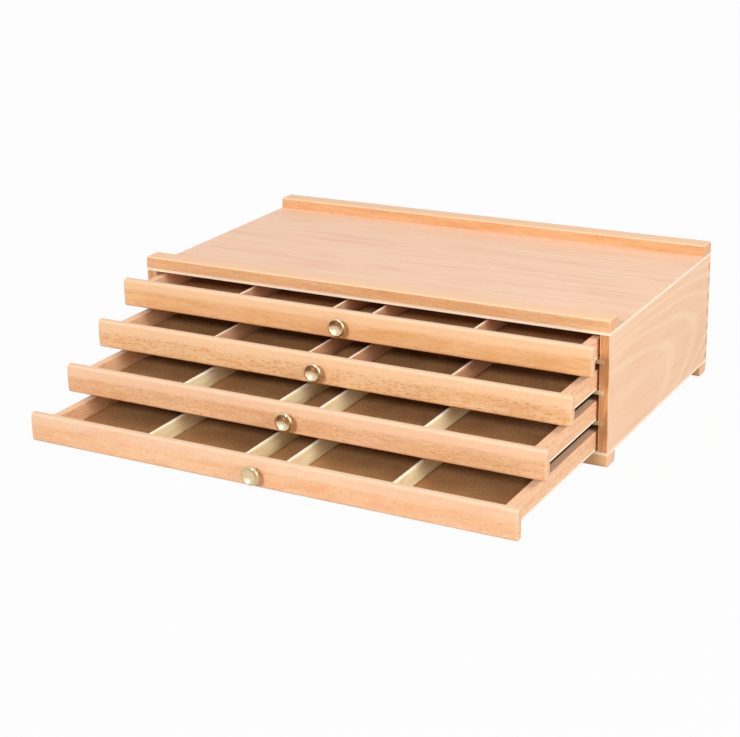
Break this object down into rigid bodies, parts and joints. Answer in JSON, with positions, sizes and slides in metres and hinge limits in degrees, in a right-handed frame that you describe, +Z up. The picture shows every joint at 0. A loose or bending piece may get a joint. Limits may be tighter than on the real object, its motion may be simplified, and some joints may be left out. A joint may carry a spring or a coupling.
{
  "type": "pastel drawer box",
  "caption": "Low wooden box with slide-out shallow drawers, each split into compartments and opened by a small dished brass knob.",
  "frame": {"origin": "on the floor under the middle of the box's overall extent, with the drawers drawn out in steps as stored", "axes": "+X to the right along the width, +Y towards the back of the case, +Z up; the drawers pull out along -Y"},
  "size_m": [0.4, 0.3896, 0.1127],
  "materials": {
    "veneered_panel": "satin",
    "beech_board": "satin",
    "beech_bar": "satin",
    "runner_wood": "matte",
    "beech_front": "satin",
    "drawer_board": "matte",
    "drawer_bottom": "matte",
    "divider_board": "matte",
    "brass_knob": "satin",
    "screw_steel": "satin"
  },
  "bodies": {
    "case": {"case_bottom_panel": "veneered_panel", "case_top_panel": "veneered_panel", "case_back_panel": "beech_board", "case_front_top_rail": "beech_bar", "case_rear_top_rail": "beech_bar", "case_front_foot_bar": "beech_bar", "case_rear_foot_bar": "beech_bar", "case_left_side": "beech_board", "case_right_side": "beech_board", "left_runner_1": "runner_wood", "left_runner_2": "runner_wood", "left_runner_3": "runner_wood", "right_runner_1": "runner_wood", "right_runner_2": "runner_wood", "right_runner_3": "runner_wood"},
    "drawer_1": {"drawer_1_front": "beech_front", "drawer_1_left_side": "drawer_board", "drawer_1_right_side": "drawer_board", "drawer_1_back": "drawer_board", "drawer_1_bottom": "drawer_bottom", "drawer_1_knob": "brass_knob", "drawer_1_knob_screw": "screw_steel", "drawer_1_divider_1": "divider_board", "drawer_1_divider_2": "divider_board", "drawer_1_divider_3": "divider_board", "drawer_1_divider_4": "divider_board"},
    "drawer_2": {"drawer_2_front": "beech_front", "drawer_2_left_side": "drawer_board", "drawer_2_right_side": "drawer_board", "drawer_2_back": "drawer_board", "drawer_2_bottom": "drawer_bottom", "drawer_2_knob": "brass_knob", "drawer_2_knob_screw": "screw_steel", "drawer_2_divider_1": "divider_board", "drawer_2_divider_2": "divider_board", "drawer_2_divider_3": "divider_board", "drawer_2_divider_4": "divider_board"},
    "drawer_3": {"drawer_3_front": "beech_front", "drawer_3_left_side": "drawer_board", "drawer_3_right_side": "drawer_board", "drawer_3_back": "drawer_board", "drawer_3_bottom": "drawer_bottom", "drawer_3_knob": "brass_knob", "drawer_3_knob_screw": "screw_steel", "drawer_3_divider_1": "divider_board", "drawer_3_divider_2": "divider_board", "drawer_3_divider_3": "divider_board", "drawer_3_divider_4": "divider_board"},
    "drawer_4": {"drawer_4_front": "beech_front", "drawer_4_left_side": "drawer_board", "drawer_4_right_side": "drawer_board", "drawer_4_back": "drawer_board", "drawer_4_bottom": "drawer_bottom", "drawer_4_knob": "brass_knob", "drawer_4_knob_screw": "screw_steel", "drawer_4_divider_1": "divider_board", "drawer_4_divider_2": "divider_board", "drawer_4_divider_3": "divider_board", "drawer_4_divider_4": "divider_board"}
  },
  "joints": [
    {"name": "drawer_1_slide", "type": "slide", "parent": "case", "child": "drawer_1", "axis": [0, -1, 0], "range_m": [-0.027, 0.1612]},
    {"name": "drawer_2_slide", "type": "slide", "parent": "case", "child": "drawer_2", "axis": [0, -1, 0], "range_m": [-0.063, 0.1252]},
    {"name": "drawer_3_slide", "type": "slide", "parent": "case", "child": "drawer_3", "axis": [0, -1, 0], "range_m": [-0.105, 0.0832]},
    {"name": "drawer_4_slide", "type": "slide", "parent": "case", "child": "drawer_4", "axis": [0, -1, 0], "range_m": [-0.151, 0.0372]}
  ]
}
